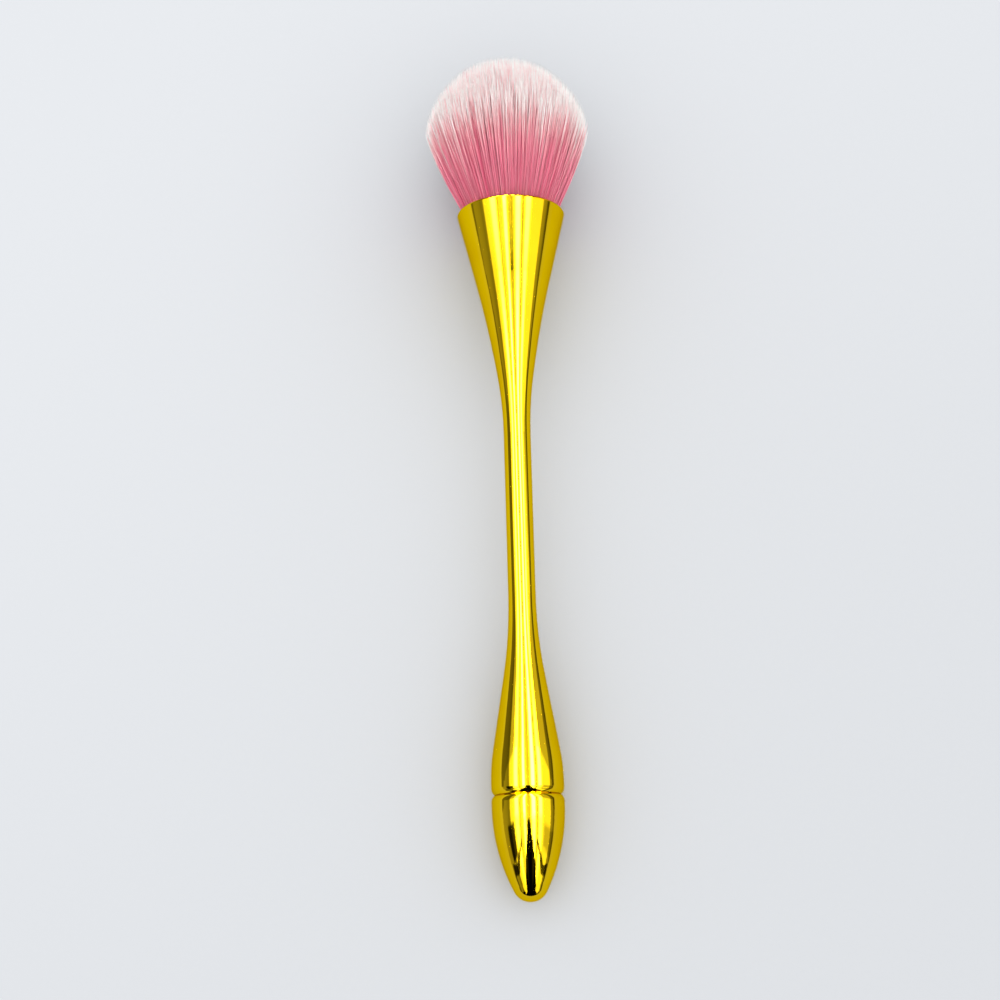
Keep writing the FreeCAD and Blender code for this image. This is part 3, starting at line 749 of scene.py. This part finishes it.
def tent_light(light):
    """The light tent, as a world: a bright roof with strip lamps and seams along the brush, dark low sides,
    and a dark opening towards the tail. What the camera sees directly is the table's own pale colour.

    Only reflections seen directly show that pattern. Everything else is lit by an even dome.
    """
    world = bpy.data.worlds.new("light_tent")
    bpy.context.scene.world = world
    world.use_nodes = True
    world.cycles.sampling_method = "NONE"
    tree = world.node_tree
    tree.nodes.clear()
    aim = add_node(tree, "TexCoord").outputs["Generated"]
    x, y, z = add_node(tree, "SeparateXYZ", {"Vector": aim}).outputs

    path = add_node(tree, "LightPath")
    direct = maths(tree, "LESS_THAN", path.outputs["Diffuse Depth"], 0.5)
    seen = add_node(tree, "Mix", data_type="FLOAT")
    tree.links.new(times(tree, path.outputs["Is Glossy Ray"], direct), seen.inputs[0])
    tree.links.new(step(tree, z, *EVEN_DOME), seen.inputs[2])
    tree.links.new(tent_level(tree, x, y, z), seen.inputs[3])
    strength = times(tree, seen.outputs[0], light)
    tent = add_node(tree, "Background", {"Color": (1.0, 1.0, 1.0, 1.0), "Strength": strength})
    pale = add_node(tree, "Background", {"Color": BACKDROP, "Strength": 1.0})
    chosen = add_node(tree, "MixShader")
    tree.links.new(path.outputs["Is Camera Ray"], chosen.inputs[0])
    tree.links.new(tent.outputs[0], chosen.inputs[1])
    tree.links.new(pale.outputs[0], chosen.inputs[2])
    tree.links.new(chosen.outputs[0], add_node(tree, "OutputWorld").inputs[0])


def stand_camera(sizes):
    """A camera on the tail's side, high above the table, rolled so that the tuft leans a little left."""
    target = MOUTH - ALONG * AIM
    back = np.array([0.0, -math.cos(sizes.elevation), math.sin(sizes.elevation)])
    upright = ALONG - back * (ALONG @ back)
    upright /= np.linalg.norm(upright)
    right = np.cross(upright, back)
    up = math.cos(sizes.roll) * upright + math.sin(sizes.roll) * right
    right = np.cross(up, back)
    stand = target - right * sizes.offset + back * sizes.distance
    camera = bpy.data.objects.new("camera", bpy.data.cameras.new("camera"))
    camera.data.lens, camera.data.sensor_width = sizes.lens, SENSOR_WIDTH
    camera.data.clip_start, camera.data.clip_end = NEAREST, FURTHEST
    turned = Matrix(np.stack([right, up, back], 1).tolist()).to_4x4()
    camera.matrix_world = Matrix.Translation(Vector(stand)) @ turned
    bpy.context.scene.collection.objects.link(camera)
    bpy.context.scene.camera = camera


# ---------------------------------------------------------------- operators and panel


class BRUSH_OT_plating(bpy.types.Operator):
    """Plate the handle and the tail cap"""

    bl_idname = "nail_brush.plating"
    bl_label = "Plate handle and cap"

    def execute(self, context):
        finish_nodes(("handle_body", "tail_cap"), plating_material(context.scene.nail_brush_finish))
        return {"FINISHED"}


class BRUSH_OT_inside(bpy.types.Operator):
    """Finish the glue, the potted root and the thread inside the cup"""

    bl_idname = "nail_brush.inside"
    bl_label = "Finish the inside"

    def execute(self, context):
        finish_nodes(("tail_cap_adhesive", "cup_adhesive"), resin_material("set_adhesive", *ADHESIVE))
        finish_nodes(("root_plug",), resin_material("potted_root", *POTTING))
        finish_nodes(("root_binding",), thread_material())
        return {"FINISHED"}


class BRUSH_OT_tuft(bpy.types.Operator):
    """Grow the tuft's filaments from the root plug to their tips"""

    bl_idname = "nail_brush.tuft"
    bl_label = "Grow the tuft"

    def execute(self, context):
        look = context.scene.nail_brush_tuft
        chance = np.random.default_rng(SEED)
        lines, from_tip, dye, tint, share = filament_lines(look, chance)
        material = filament_material(look)
        for ring, chosen in enumerate(np.array_split(np.argsort(share), look.rings), start=1):
            piece = grow_filaments(
                f"filaments_ring_{ring}", lines[chosen], from_tip[chosen], dye[chosen], tint[chosen],
                look.thickness, material, chance,
            )
            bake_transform(piece)
            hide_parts("bristle_roots", "bristle_tuft")
        return {"FINISHED"}


class BRUSH_OT_stage(bpy.types.Operator):
    """Set the table, the light tent and the camera"""

    bl_idname = "nail_brush.stage"
    bl_label = "Set the stage"

    def execute(self, context):
        sizes = context.scene.nail_brush_stage
        table_top(TABLE_SIZE, tuple(sizes.table_colour))
        tent_light(sizes.light)
        stand_camera(sizes)
        context.scene.view_settings.view_transform = "Standard"
        return {"FINISHED"}


class BRUSH_PT_panel(bpy.types.Panel):
    """Sizes, colours and steps of the nail brush"""

    bl_idname = "BRUSH_PT_panel"
    bl_label = "Nail dust brush"
    bl_space_type = "VIEW_3D"
    bl_region_type = "UI"
    bl_category = "Nail brush"

    def draw(self, context):
        for group, steps in GROUPS:
            box = self.layout.box()
            held = getattr(context.scene, group)
            for name in held.bl_rna.properties.keys():
                if name not in ("rna_type", "name"):
                    box.prop(held, name)
            for step_name in steps:
                box.operator(step_name)


GROUPS = (
    ("nail_brush_finish", ("nail_brush.plating", "nail_brush.inside")),
    ("nail_brush_tuft", ("nail_brush.tuft",)),
    ("nail_brush_stage", ("nail_brush.stage",)),
)
KINDS = {"nail_brush_finish": FinishLook, "nail_brush_tuft": TuftSizes, "nail_brush_stage": StageSizes}
CLASSES = (
    TuftSizes, FinishLook, StageSizes, BRUSH_OT_plating, BRUSH_OT_inside, BRUSH_OT_tuft, BRUSH_OT_stage,
    BRUSH_PT_panel,
)


def register():
    for kind in CLASSES:
        bpy.utils.register_class(kind)
    for name, kind in KINDS.items():
        setattr(bpy.types.Scene, name, bpy.props.PointerProperty(type=kind))


def unregister():
    for name in KINDS:
        delattr(bpy.types.Scene, name)
    for kind in reversed(CLASSES):
        bpy.utils.unregister_class(kind)


def main():
    register()
    bpy.ops.nail_brush.plating()
    bpy.ops.nail_brush.inside()
    bpy.ops.nail_brush.tuft()
    bpy.ops.nail_brush.stage()
    bpy.context.view_layer.update()


if __name__ == "__main__":
    main()
